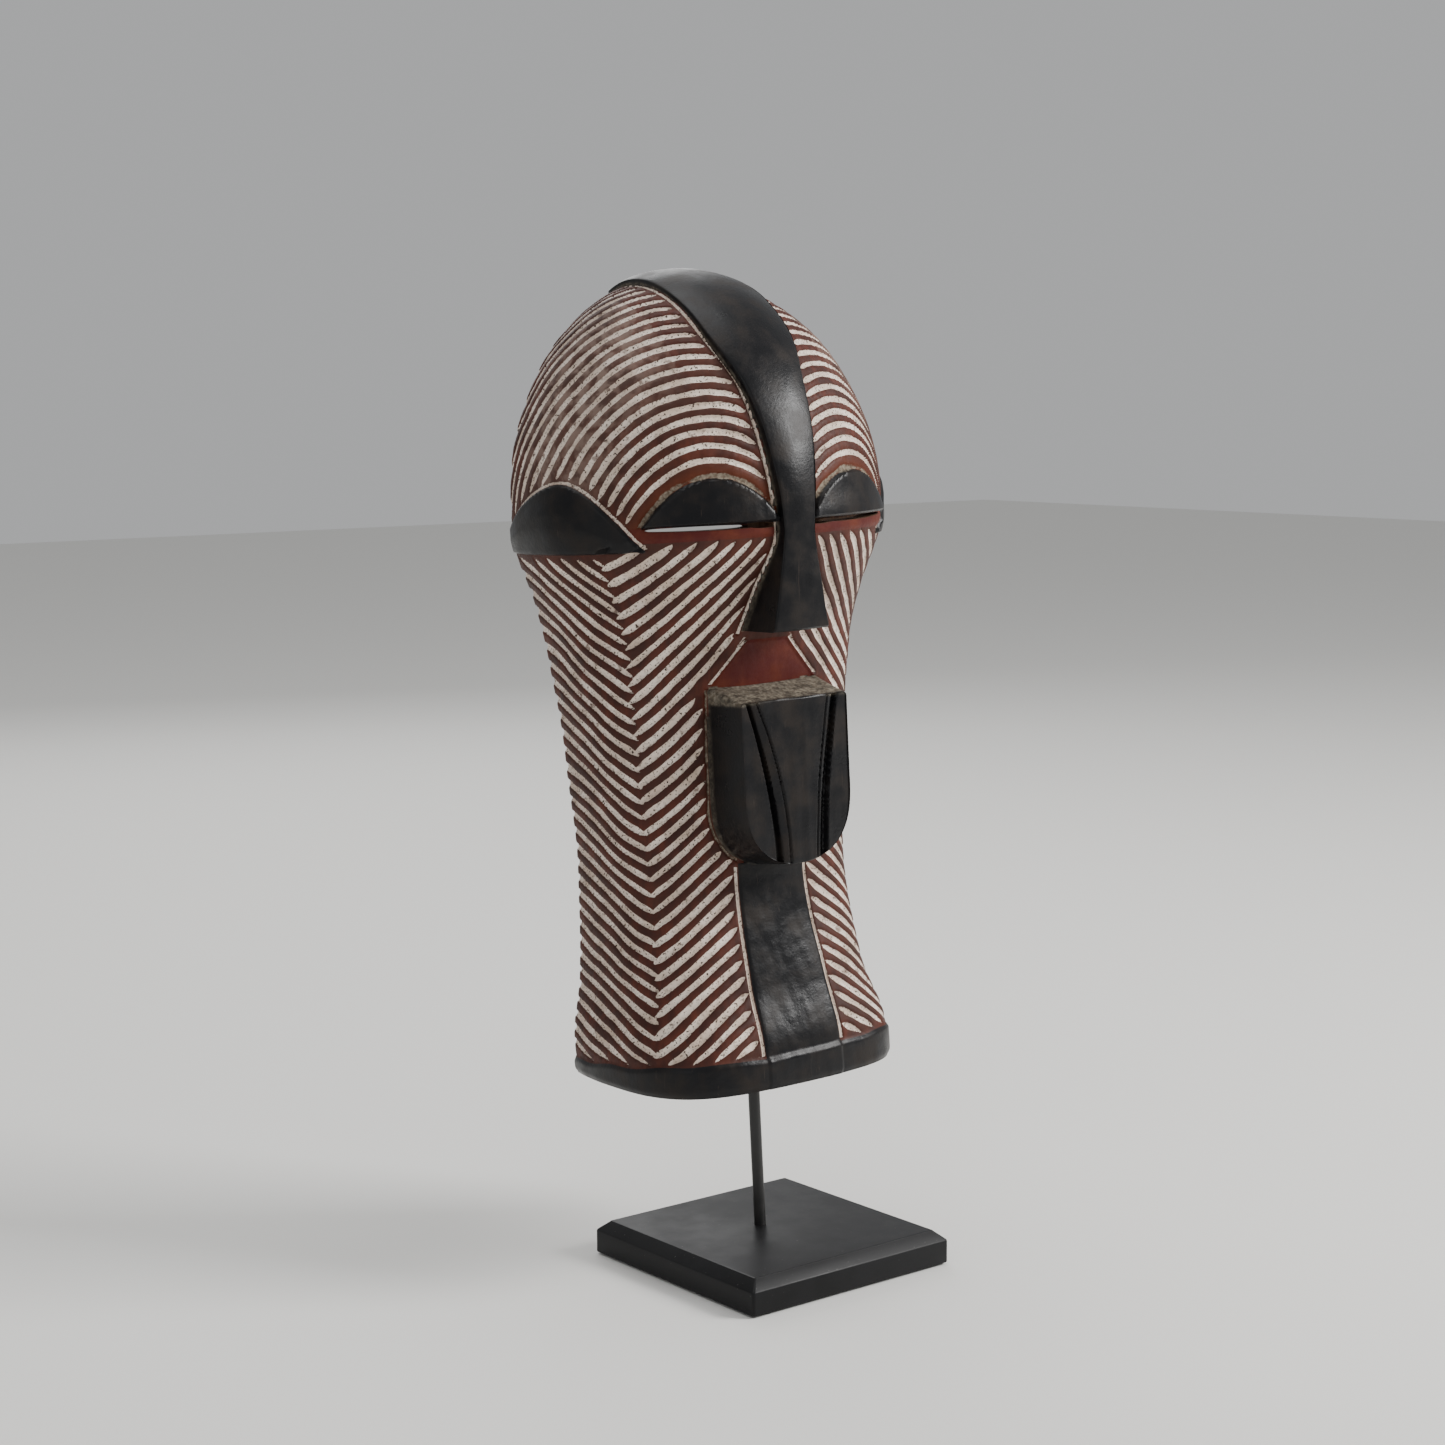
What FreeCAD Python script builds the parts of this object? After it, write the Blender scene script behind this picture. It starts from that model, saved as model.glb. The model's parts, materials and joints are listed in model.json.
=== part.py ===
import FreeCAD, Part
import Sketcher
import math
import os

# Carved wooden mask sitting on a rod that screws into a square base plate.
# Millimetres, +Z up, origin at the centre of the underside of the base.
# The mask and everything on the rod are drawn in the rod's own frame: its
# origin is where the rod leaves the top of the base, its Z runs up the rod,
# and -Y is the way the mask faces.

doc = FreeCAD.newDocument("carved_mask")
sheet = doc.addObject("Spreadsheet::Sheet", "Sizes")

SIZES = [
    # base plate and the felt under it
    ("base_side", 130.0),
    ("felt_thick", 1.0),
    ("felt_inset", 3.0),
    ("plate_thick", 17.0),
    ("bevel_rise", 5.0),
    ("bevel_run", 6.0),
    ("edge_round", 1.0),
    # where the rod stands and how it leans
    ("foot_across", -3.0),
    ("foot_back", 5.0),
    ("lean_side", -1.6),
    ("lean_back", 2.0),
    ("mask_turn", -3.0),
    # rod, tee nut and the fittings on the rod
    ("rod_radius", 3.0),
    ("rod_foot_depth", 14.5),
    ("rod_height", 316.5),
    ("rod_end_ease", 0.5),
    ("running_gap", 0.08),
    ("tee_flange_radius", 8.5),
    ("tee_flange_thick", 1.4),
    ("tee_barrel_radius", 4.0),
    ("tee_barrel_length", 9.0),
    ("tee_seat_depth", 13.0),
    ("bar_radius", 2.5),
    ("bar_height", 182.0),
    ("bar_half", 49.6),
    ("bar_seat", 0.5),
    ("cap_wall", 2.0),
    ("cap_end", 3.0),
    ("cap_grip", 12.0),
    ("cap_ease", 1.6),
    # the batten glued across the hollow, which sits on the rod
    ("batten_low", 236.0),
    ("batten_high", 256.0),
    ("batten_front", -12.0),
    ("batten_back", 6.0),
    # the carved shell
    ("rim_gap", 84.0),
    ("dome_start", 290.0),
    ("crown_height", 406.0),
    ("widest_line", 19.0),
    ("dome_setback", 22.0),
    ("back_plane", 56.0),
    ("back_round", 70.0),
    ("back_round_gain", 45.0),
    ("side_wall", 10.0),
    ("front_wall", 12.0),
    ("crown_wall", 11.0),
    ("crest_proud", 4.0),
    ("crown_crest", 27.0),
    ("lid_proud", 2.5),
    ("lobe_proud", 1.5),
    ("eye_level", 282.0),
    ("eye_inner", 14.0),
    ("eye_outer", 73.0),
    ("lid_height", 26.0),
    ("slit_width", 2.2),
    ("slit_margin", 3.0),
    ("lobe_level", 272.0),
    ("lobe_front", -27.0),
    ("lobe_rise", 33.0),
    ("nose_top", 284.0),
    ("nose_bottom", 230.0),
    ("nose_top_half", 9.3),
    ("nose_tip_half", 17.0),
    ("nose_top_front", -61.0),
    ("nose_tip_front", -59.5),
    ("block_top", 201.0),
    ("block_drop", 6.5),
    ("block_root_half", 34.0),
    ("block_half", 32.5),
    ("block_side", 44.0),
    ("block_bottom", 112.0),
    ("block_front", -51.0),
    ("block_root_front", -20.0),
]
for row, (alias, size) in enumerate(SIZES, start=1):
    sheet.set("A%d" % row, alias)
    sheet.set("B%d" % row, str(size))
    sheet.setAlias("B%d" % row, alias)

# Stations up the mask: height above the rim, half width, front of the face,
# and how square the section is (2 is an ellipse, more is boxier).
STATIONS = [
    ("rim", 0.0, 75.0, -46.0, 3.4),
    ("rim_top", 18.0, 76.0, -45.0, 3.2),
    ("jaw", 50.0, 70.5, -35.5, 2.7),
    ("waist", 105.0, 68.0, -24.5, 2.5),
    ("cheek", 165.0, 72.0, -25.5, 2.4),
    ("nostril", 215.0, 79.0, -29.0, 2.2),
    ("under_eye", 245.0, 86.5, -40.0, 2.1),
    ("brow", 276.0, 97.0, -56.0, 2.0),
    ("temple", 290.0, 98.0, -56.5, 2.0),
]
STATION_FIELDS = ("height", "half", "front", "square")
for row, station in enumerate(STATIONS, start=1):
    for column, field, size in zip("DEFG", STATION_FIELDS, station[1:]):
        sheet.set("%s%d" % (column, row), str(size))
        sheet.setAlias("%s%d" % (column, row), station[0] + "_" + field)
doc.recompute()


def val(alias):
    """A size from the sheet."""
    return float(sheet.get(alias))


def vec(x, y, z):
    return FreeCAD.Vector(x, y, z)


# ---------------------------------------------------------------- rod frame

def rod_rotation():
    """How the rod leans, and how the mask on it is turned."""
    turn = FreeCAD.Rotation(vec(0, 0, 1), val("mask_turn"))
    side = FreeCAD.Rotation(vec(0, 1, 0), val("lean_side"))
    back = FreeCAD.Rotation(vec(1, 0, 0), -val("lean_back"))
    return turn.multiply(side).multiply(back)


def on_rod(height=0.0):
    """Placement of a piece drawn about the rod, its zero at this height."""
    top = val("felt_thick") + val("plate_thick")
    foot = vec(val("foot_across"), val("foot_back"), top)
    spin = rod_rotation()
    return FreeCAD.Placement(foot + spin.multVec(vec(0, 0, height)), spin)


def role_plane(body, role):
    """An origin plane of the body, found by its role."""
    for feature in body.Origin.OriginFeatures:
        if feature.Role == role:
            return feature
    raise RuntimeError("no plane " + role)


def new_body(name):
    body = doc.addObject("PartDesign::Body", name)
    body.Label = name
    return body


def new_sketch(body, role, name):
    sketch = body.newObject("Sketcher::SketchObject", name)
    sketch.AttachmentSupport = [(role_plane(body, role), "")]
    sketch.MapMode = "FlatFace"
    return sketch


def circle_sketch(body, name, radius):
    """A circle about the body's Z, its radius bound to an expression."""
    sketch = new_sketch(body, "XY_Plane", name + "_circle")
    sketch.addGeometry(Part.Circle(vec(0, 0, 0), vec(0, 0, 1), 1.0), False)
    sketch.addConstraint(Sketcher.Constraint("Coincident", 0, 3, -1, 1))
    number = sketch.addConstraint(Sketcher.Constraint("Radius", 0, 1.0))
    sketch.renameConstraint(number, "radius")
    sketch.setExpression("Constraints.radius", radius)
    return sketch


def round_pad(body, name, radius, length):
    pad = body.newObject("PartDesign::Pad", name)
    pad.Profile = circle_sketch(body, name, radius)
    pad.setExpression("Length", length)
    return pad


def round_pocket(body, name, radius, length):
    """A round hole that starts at the body's XY plane and runs up its Z."""
    pocket = body.newObject("PartDesign::Pocket", name)
    pocket.Profile = circle_sketch(body, name, radius)
    pocket.Reversed = True
    pocket.setExpression("Length", length)
    return pocket


def edges_at(shape, level):
    """Names of the edges that lie wholly at this height."""
    names = []
    for number, edge in enumerate(shape.Edges, start=1):
        if all(abs(v.Point.z - level) < 1e-6 for v in edge.Vertexes):
            names.append("Edge%d" % number)
    return names


# ---------------------------------------------------------------- base plate

def square_sheet(body, name, side, thick):
    """A square pad bound to two expressions of the sheet."""
    sketch = new_sketch(body, "XY_Plane", name + "_outline")
    half = 10.0
    corners = [(-half, -half), (half, -half), (half, half), (-half, half)]
    for start, end in zip(corners, corners[1:] + corners[:1]):
        sketch.addGeometry(Part.LineSegment(vec(*start, 0), vec(*end, 0)), False)
    for first, second in ((0, 1), (1, 2), (2, 3), (3, 0)):
        sketch.addConstraint(Sketcher.Constraint("Coincident", first, 2, second, 1))
    for line in (0, 2):
        sketch.addConstraint(Sketcher.Constraint("Horizontal", line))
    for line in (1, 3):
        sketch.addConstraint(Sketcher.Constraint("Vertical", line))
    sketch.addConstraint(Sketcher.Constraint("Symmetric", 0, 1, 1, 2, -1, 1))
    for line, key in ((0, "width"), (1, "length")):
        number = sketch.addConstraint(Sketcher.Constraint("Distance", line, 2 * half))
        sketch.renameConstraint(number, key)
        sketch.setExpression("Constraints." + key, side)
    pad = body.newObject("PartDesign::Pad", name + "_board")
    pad.Profile = sketch
    pad.setExpression("Length", thick)
    return pad


def make_plate_blank():
    """The bevelled board before its holes are bored."""
    body = new_body("plate_blank")
    pad = square_sheet(body, "plate", "Sizes.base_side", "Sizes.plate_thick")
    doc.recompute()
    top = val("plate_thick")
    bevel = body.newObject("PartDesign::Chamfer", "plate_bevel")
    bevel.Base = (pad, edges_at(pad.Shape, top))
    bevel.ChamferType = 1
    bevel.setExpression("Size", "Sizes.bevel_rise")
    bevel.setExpression("Size2", "Sizes.bevel_run")
    doc.recompute()
    low = top - val("bevel_rise")
    corners = []
    for number, edge in enumerate(bevel.Shape.Edges, start=1):
        heights = sorted(v.Point.z for v in edge.Vertexes)
        if heights[0] < 1e-6 and abs(heights[-1] - low) < 1e-6:
            corners.append("Edge%d" % number)
    soften = body.newObject("PartDesign::Fillet", "plate_corners")
    soften.Base = (bevel, corners)
    soften.setExpression("Radius", "Sizes.edge_round")
    body.setExpression("Placement.Base.z", "Sizes.felt_thick")
    return body


def bore(name, radius, low, height):
    """A cylinder along the rod's axis that starts at this height on the rod."""
    tool = doc.addObject("Part::Cylinder", name)
    tool.setExpression("Radius", radius)
    tool.setExpression("Height", height)
    tool.Placement = on_rod(low)
    return tool


def cut_all(label, base, tools):
    """The base with each tool cut from it in turn."""
    for number, tool in enumerate(tools, start=1):
        cut = doc.addObject("Part::Cut", "%s_cut_%d" % (label, number))
        cut.Base = base
        cut.Tool = tool
        base = cut
    base.Label = label
    return base


def make_base_plate():
    """Rod hole, tee nut barrel hole and flange recess, all along the rod."""
    seat = val("tee_seat_depth")
    through = 2 * val("plate_thick")
    tools = [
        bore("rod_hole", "Sizes.rod_radius + Sizes.running_gap", -through,
             "3 * Sizes.plate_thick"),
        bore("barrel_hole", "Sizes.tee_barrel_radius", -through,
             "2 * Sizes.plate_thick - Sizes.tee_seat_depth + Sizes.tee_barrel_length + 0.3"),
        bore("flange_recess", "Sizes.tee_flange_radius + 0.5", -seat - through,
             "2 * Sizes.plate_thick"),
    ]
    return cut_all("base_plate", make_plate_blank(), tools)


def make_felt():
    """A felt sheet glued under the board, a little smaller than it."""
    body = new_body("felt_pad")
    side = "Sizes.base_side - 2 * Sizes.felt_inset"
    square_sheet(body, "felt", side, "Sizes.felt_thick")
    return body


# ---------------------------------------------------------------- on the rod

def make_tee_nut():
    """Flanged barrel that the rod's threaded foot screws into."""
    body = new_body("tee_nut")
    length = "Sizes.tee_flange_thick + Sizes.tee_barrel_length"
    round_pad(body, "nut_flange", "Sizes.tee_flange_radius", "Sizes.tee_flange_thick")
    round_pad(body, "nut_barrel", "Sizes.tee_barrel_radius", length)
    round_pocket(body, "nut_bore", "Sizes.rod_radius + Sizes.running_gap / 2", length)
    body.Placement = on_rod(-val("tee_seat_depth") - val("tee_flange_thick"))
    return body


def make_rod():
    """A round rod, both of its ends eased."""
    body = new_body("support_rod")
    pad = round_pad(body, "rod_bar", "Sizes.rod_radius",
                    "Sizes.rod_foot_depth + Sizes.rod_height")
    doc.recompute()
    length = val("rod_foot_depth") + val("rod_height")
    ease = body.newObject("PartDesign::Chamfer", "rod_ends")
    ease.Base = (pad, edges_at(pad.Shape, 0.0) + edges_at(pad.Shape, length))
    ease.setExpression("Size", "Sizes.rod_end_ease")
    body.Placement = on_rod(-val("rod_foot_depth"))
    return body


def make_cap(name, bore_radius, placement):
    """A rubber cap: its socket opens at its own z = 0, its far end is eased."""
    body = new_body(name)
    length = "Sizes.cap_grip + Sizes.cap_end"
    round_pad(body, name + "_plug", bore_radius + " + Sizes.cap_wall", length)
    socket = round_pocket(body, name + "_socket", bore_radius, "Sizes.cap_grip")
    doc.recompute()
    far = edges_at(socket.Shape, val("cap_grip") + val("cap_end"))
    ease = body.newObject("PartDesign::Chamfer", name + "_end")
    ease.Base = (socket, far)
    ease.setExpression("Size", "Sizes.cap_ease")
    body.Placement = placement
    return body


def make_cross_bar():
    """A bar behind the rod, hollowed where it is brazed to it."""
    bar = doc.addObject("Part::Cylinder", "bar_blank")
    bar.setExpression("Radius", "Sizes.bar_radius")
    bar.setExpression("Height", "2 * Sizes.bar_half")
    sideways = FreeCAD.Placement(
        vec(-val("bar_half"), bar_offset(), 0), FreeCAD.Rotation(vec(0, 1, 0), 90))
    bar.Placement = on_rod(val("bar_height")).multiply(sideways)
    seat = doc.addObject("Part::Cylinder", "bar_seat_tool")
    seat.setExpression("Radius", "Sizes.rod_radius")
    seat.setExpression("Height", "8 * Sizes.bar_radius")
    seat.Placement = on_rod(val("bar_height") - 4 * val("bar_radius"))
    return cut_all("cross_bar", bar, [seat])


def bar_offset():
    """How far the bar's axis lies behind the rod's."""
    return val("rod_radius") + val("bar_radius") - val("bar_seat")


def make_bar_caps():
    caps = []
    for name, side in (("bar_cap_left", -1), ("bar_cap_right", 1)):
        start = side * (val("bar_half") - val("cap_grip"))
        local = FreeCAD.Placement(
            vec(start, bar_offset(), 0), FreeCAD.Rotation(vec(0, 1, 0), side * 90))
        radius = "Sizes.bar_radius + Sizes.running_gap / 2"
        caps.append(make_cap(name, radius, on_rod(val("bar_height")).multiply(local)))
    return caps


def make_rod_cap():
    radius = "Sizes.rod_radius + Sizes.running_gap / 2"
    return make_cap("rod_cap", radius, on_rod(val("rod_height") - val("cap_grip")))


# ---------------------------------------------------------------- the mask

def smooth_between(height, field):
    """A station field at any height, by a monotone cubic through the stations."""
    names = [station[0] for station in STATIONS]
    xs = [val(name + "_height") for name in names]
    ys = [val(name + "_" + field) for name in names]
    height = min(max(height, xs[0]), xs[-1])
    steps = [b - a for a, b in zip(xs, xs[1:])]
    slopes = [(b - a) / step for a, b, step in zip(ys, ys[1:], steps)]
    tangents = [slopes[0]]
    for before, after in zip(slopes, slopes[1:]):
        same_way = before * after > 0
        tangents.append(2 * before * after / (before + after) if same_way else 0.0)
    tangents.append(slopes[-1])
    place = max(i for i in range(len(steps)) if xs[i] <= height)
    share = (height - xs[place]) / steps[place]
    rise = share * share * (3 - 2 * share)
    start = share * (1 - share) ** 2 * steps[place] * tangents[place]
    end = share * share * (share - 1) * steps[place] * tangents[place + 1]
    return ys[place] + (ys[place + 1] - ys[place]) * rise + start + end


def section(height, crown, side_in, front_in):
    """Half width, middle, front depth, back depth and squareness of a section.

    The face below the dome follows the stations; above it every size shrinks
    as an ellipse towards the crown. side_in and front_in shrink it inwards.
    """
    start = val("dome_start")
    rise = max(0.0, height - start) / (crown - start)
    shrink = math.sqrt(max(0.0, 1 - rise * rise))
    low = min(height, start)
    middle = val("widest_line")
    half = (smooth_between(low, "half") - side_in) * shrink
    depth = (middle - smooth_between(low, "front") - front_in) * shrink
    back = (val("back_round") + val("back_round_gain") * shrink) * shrink
    centre = middle + val("dome_setback") * (1 - shrink)
    return half, centre, depth, back, smooth_between(low, "square")


def section_wire(height, level, crown, side_in, front_in):
    """The closed outline of the section, drawn at the given level."""
    half, centre, depth, back, square = section(height, crown, side_in, front_in)
    count = 36
    points = []
    for step in range(count):
        angle = 2 * math.pi * step / count
        across = math.sin(angle)
        along = math.cos(angle)
        if along < 0:
            points.append(vec(half * across, centre - back * along, level))
            continue
        power = 2 / square
        x = math.copysign(half * abs(across) ** power, across)
        points.append(vec(x, centre - depth * along ** power, level))
    curve = Part.BSplineCurve()
    steps = [number / count for number in range(count + 1)]
    curve.interpolate(Points=points, PeriodicFlag=True, Parameters=steps)
    return Part.Wire([curve.toShape()])


LOWER_LEVELS = (0, 18, 34, 50, 78, 105, 135, 165, 190, 215, 232, 248, 264, 276, 290)
DOME_ANGLES = (15, 30, 43, 55, 66, 76, 85)


def mask_form(crown, side_in=0.0, front_in=0.0, drop=0.0):
    """A closed solid of the mask's form, lofted through its sections."""
    start = val("dome_start")
    levels = [float(level) for level in LOWER_LEVELS]
    levels += [start + (crown - start) * math.sin(math.radians(a)) for a in DOME_ANGLES]
    wires = []
    if drop > 0:
        wires.append(section_wire(0.0, -drop, crown, side_in, front_in))
    for level in levels:
        wires.append(section_wire(level, level, crown, side_in, front_in))
    return Part.makeLoft(wires, True, False)


def extruded(edges, direction):
    """A solid swept from a closed run of edges."""
    return Part.Face(Part.Wire(edges)).extrude(direction)


def smooth_edge(points):
    curve = Part.BSplineCurve()
    curve.interpolate(points)
    return curve.toShape()


FRONT = -90.0
BEHIND = 80.0


def crest_prism():
    """Outline of the crest seen from the front, widening towards the crown."""
    crown = val("crown_crest")
    flank = [
        (val("nose_top_half"), 276.0), (10.7, 293.0), (14.0, 317.0),
        (17.3, 346.0), (crown - 1.5, 377.0), (crown, 395.0),
    ]
    left = [vec(-x, FRONT, z) for x, z in flank]
    right = [vec(x, FRONT, z) for x, z in reversed(flank)]
    roof = 440.0
    top_left = vec(-crown, FRONT, roof)
    top_right = vec(crown, FRONT, roof)
    edges = [
        smooth_edge(left),
        Part.makeLine(left[-1], top_left),
        Part.makeLine(top_left, top_right),
        Part.makeLine(top_right, right[0]),
        smooth_edge(right),
        Part.makeLine(right[-1], left[0]),
    ]
    return extruded(edges, vec(0, BEHIND - FRONT, 0))


def lid_prism(side):
    """Half-moon of an upper lid, seen from the front."""
    level = val("eye_level")
    inner = side * val("eye_inner")
    outer = side * val("eye_outer")
    middle = (inner + outer) / 2
    ends = [vec(inner, FRONT, level), vec(outer, FRONT, level)]
    top = vec(middle, FRONT, level + val("lid_height"))
    arc = Part.Arc(ends[0], top, ends[1]).toShape()
    return extruded([arc, Part.makeLine(ends[1], ends[0])], vec(0, -FRONT, 0))


def lobe_prism():
    """Half-moon of both ear lobes, seen from the side."""
    level = val("lobe_level")
    reach = 120.0
    front = vec(-reach, val("lobe_front"), level)
    back = vec(-reach, val("back_plane") + 2, level)
    top = (front + back) * 0.5 + vec(0, 0, val("lobe_rise"))
    arc = Part.Arc(front, top, back).toShape()
    return extruded([arc, Part.makeLine(back, front)], vec(2 * reach, 0, 0))


def straight_slot(level, front, half, back):
    """A closed four-sided wire at one level, square to the face."""
    corners = [
        vec(-half, back, level), vec(-half, front, level),
        vec(half, front, level), vec(half, back, level),
    ]
    return Part.makePolygon(corners + corners[:1])


def make_nose():
    """A wedge that runs on from the crest and ends square at the nostrils."""
    inside = -18.0
    top = straight_slot(val("nose_top"), val("nose_top_front"), val("nose_top_half"), inside)
    low = straight_slot(val("nose_bottom"), val("nose_tip_front"), val("nose_tip_half"), inside)
    return Part.makeLoft([top, low], True, True)


def block_outline(depth, top, half, low):
    """The mouth block's shield outline in a plane across the face."""
    side = top - val("block_side")
    corners = [
        vec(-half, depth, side), vec(-half + 1, depth, top),
        vec(half - 1, depth, top), vec(half, depth, side),
    ]
    arcs = []
    chord = vec(0, depth, low)
    bulge = 0.78
    for start, end, way in ((corners[3], chord, 1), (chord, corners[0], -1)):
        knee = vec(way * half * bulge, depth, low + (side - low) * 0.3)
        arcs.append(Part.Arc(start, knee, end).toShape())
    lines = [Part.makeLine(a, b) for a, b in zip(corners, corners[1:])]
    return Part.Wire(lines + arcs)


def make_mouth_block():
    root = block_outline(val("block_root_front"), val("block_top"),
                         val("block_root_half"), val("block_bottom") - 4)
    face = block_outline(val("block_front"), val("block_top") - val("block_drop"),
                         val("block_half"), val("block_bottom"))
    return Part.makeLoft([root, face], True, True)


def make_eye_slit(side):
    """The narrow see-through cut under a lid."""
    margin = val("slit_margin")
    width = val("eye_outer") - val("eye_inner") - 2 * margin
    low = val("eye_level") - val("slit_width")
    start = val("eye_inner") + margin if side > 0 else -val("eye_outer") + margin
    return Part.makeBox(width, 90, val("slit_width"), vec(start, FRONT, low))


def hollow_form():
    """The hollow as a solid that runs out below the rim."""
    crown = val("crown_height") - val("crown_wall")
    return mask_form(crown, val("side_wall"), val("front_wall"), 8.0)


def make_batten():
    """A batten fitted between the hollow's walls, over the end of the rod."""
    low = val("batten_low")
    front = val("batten_front")
    blank = Part.makeBox(300, val("batten_back") - front, val("batten_high") - low,
                         vec(-150, front, low))
    batten = doc.addObject("Part::Feature", "inner_batten")
    batten.Label = "inner_batten"
    batten.Shape = hollow_form().common(blank).Solids[0]
    batten.Placement = on_rod(val("rim_gap"))
    return batten


def make_mask():
    """The carved shell: outer form and raised parts, less the hollow."""
    crown = val("crown_height")
    outer = mask_form(crown)
    proud = val("crest_proud")
    body = outer.fuse(mask_form(crown + proud, -proud, -proud).common(crest_prism()))
    lid = val("lid_proud")
    lid_form = mask_form(crown + lid, -lid, -lid)
    lobe = val("lobe_proud")
    lobe_form = mask_form(crown + lobe, -lobe, -lobe)
    raised = [lid_form.common(lid_prism(side)) for side in (-1, 1)]
    raised.append(lobe_form.common(lobe_prism()))
    raised.append(make_nose())
    raised.append(make_mouth_block())
    for piece in raised:
        body = body.fuse(piece)
    body = body.cut(hollow_form())
    behind = Part.makeBox(400, 200, 600, vec(-200, val("back_plane"), -50))
    body = body.cut(behind)
    for side in (-1, 1):
        body = body.cut(make_eye_slit(side))
    solid = max(body.Solids, key=lambda s: s.Volume)
    mask = doc.addObject("Part::Feature", "mask_shell")
    mask.Label = "mask_shell"
    mask.Shape = solid
    mask.Placement = on_rod(val("rim_gap"))
    return mask


# ---------------------------------------------------------------- document

def write_parts(nodes):
    """Stop on any failed object, then write each sub-part."""
    for item in doc.Objects:
        if "Invalid" in item.State or "Error" in item.State:
            raise RuntimeError("failed: " + item.Label)
    os.makedirs("parts", exist_ok=True)
    for node in nodes:
        shape = node.Shape
        if shape.isNull() or not shape.isValid():
            raise RuntimeError("bad shape: " + node.Label)
        if len(shape.Solids) != 1:
            raise RuntimeError("not one solid: " + node.Label)
        shape.exportStep("parts/" + node.Label + ".step")
        box = shape.optimalBoundingBox(False, False)
        print("%-14s %9.0f mm3  x %.1f..%.1f  y %.1f..%.1f  z %.1f..%.1f" % (
            node.Label, shape.Volume, box.XMin, box.XMax, box.YMin, box.YMax,
            box.ZMin, box.ZMax))


nodes = [make_base_plate(), make_felt(), make_tee_nut(), make_rod(), make_cross_bar()]
nodes += make_bar_caps()
nodes += [make_rod_cap(), make_batten(), make_mask()]
doc.recompute()
write_parts(nodes)
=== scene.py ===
"""Carved wooden mask on its stand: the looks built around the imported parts."""
import json
import math

import bmesh
import bpy
import numpy as np
from mathutils import Matrix, Vector, kdtree


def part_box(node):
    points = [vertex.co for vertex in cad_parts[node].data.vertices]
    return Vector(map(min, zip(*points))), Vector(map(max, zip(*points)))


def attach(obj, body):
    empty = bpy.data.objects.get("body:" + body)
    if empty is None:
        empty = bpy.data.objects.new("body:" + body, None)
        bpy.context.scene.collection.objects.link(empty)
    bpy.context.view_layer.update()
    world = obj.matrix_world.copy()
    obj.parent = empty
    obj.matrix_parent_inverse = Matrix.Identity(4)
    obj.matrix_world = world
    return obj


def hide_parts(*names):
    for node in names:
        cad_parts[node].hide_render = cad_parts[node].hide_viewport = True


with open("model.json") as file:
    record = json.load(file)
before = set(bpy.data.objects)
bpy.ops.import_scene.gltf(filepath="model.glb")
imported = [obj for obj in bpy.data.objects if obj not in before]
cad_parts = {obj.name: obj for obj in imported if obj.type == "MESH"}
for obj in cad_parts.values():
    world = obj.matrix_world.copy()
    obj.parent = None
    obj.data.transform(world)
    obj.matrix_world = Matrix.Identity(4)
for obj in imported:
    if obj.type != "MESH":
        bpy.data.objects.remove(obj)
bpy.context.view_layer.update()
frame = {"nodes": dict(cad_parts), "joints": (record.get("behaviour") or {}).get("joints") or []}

# The mask is drawn in millimetres in the rod's own frame: z = 0 at the mask's
# lower rim, x = 0 its middle plane, -y the way it faces. on_rod() takes it to
# the row frame in metres.
MM = 0.001
RIM_GAP = 84.0
TURN = math.radians(-3.0)
SWIVEL = next(joint for joint in frame["joints"] if joint["name"] == "rod_swivel")


def rod_rotation():
    """How the rod leans, from the swivel's axis, and how the mask is turned."""
    lean = Matrix.Rotation(-TURN, 3, "Z") @ Vector(SWIVEL["axis"])
    side = Matrix.Rotation(math.atan2(lean.x, lean.z), 3, "Y")
    back = Matrix.Rotation(-math.asin(lean.y), 3, "X")
    return np.array(Matrix.Rotation(TURN, 3, "Z") @ side @ back)


def on_rod(points, height=0.0):
    """Points in millimetres along the rod, as metres in the row frame."""
    lifted = np.asarray(points, float) + np.array([0.0, 0.0, height])
    return (lifted @ rod_rotation().T) * MM + np.array(SWIVEL["pos_m"])


# ------------------------------------------------------------ small numerics

def ramp(value, start, end):
    """0 before start, 1 after end, smooth between."""
    share = np.clip((value - start) / (end - start), 0.0, 1.0)
    return share * share * (3.0 - 2.0 * share)


def wobble(points, length, seed):
    """Smooth irregularity of about -1 to 1, over this wavelength."""
    rng = np.random.default_rng(seed)
    total = np.zeros(points.shape[:-1])
    waves = 7
    for _ in range(waves):
        way = rng.normal(size=3)
        way *= 2.0 * math.pi / (length * rng.uniform(0.7, 1.5) * np.linalg.norm(way))
        total += np.sin(points @ way + rng.uniform(0.0, 2.0 * math.pi))
    return total / math.sqrt(waves)


def hashed(number, seed):
    """A steady random value of 0 to 1 for each whole number."""
    return np.modf(np.abs(np.sin(number * 12.9898 + seed * 78.233) * 43758.5453))[0]


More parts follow.
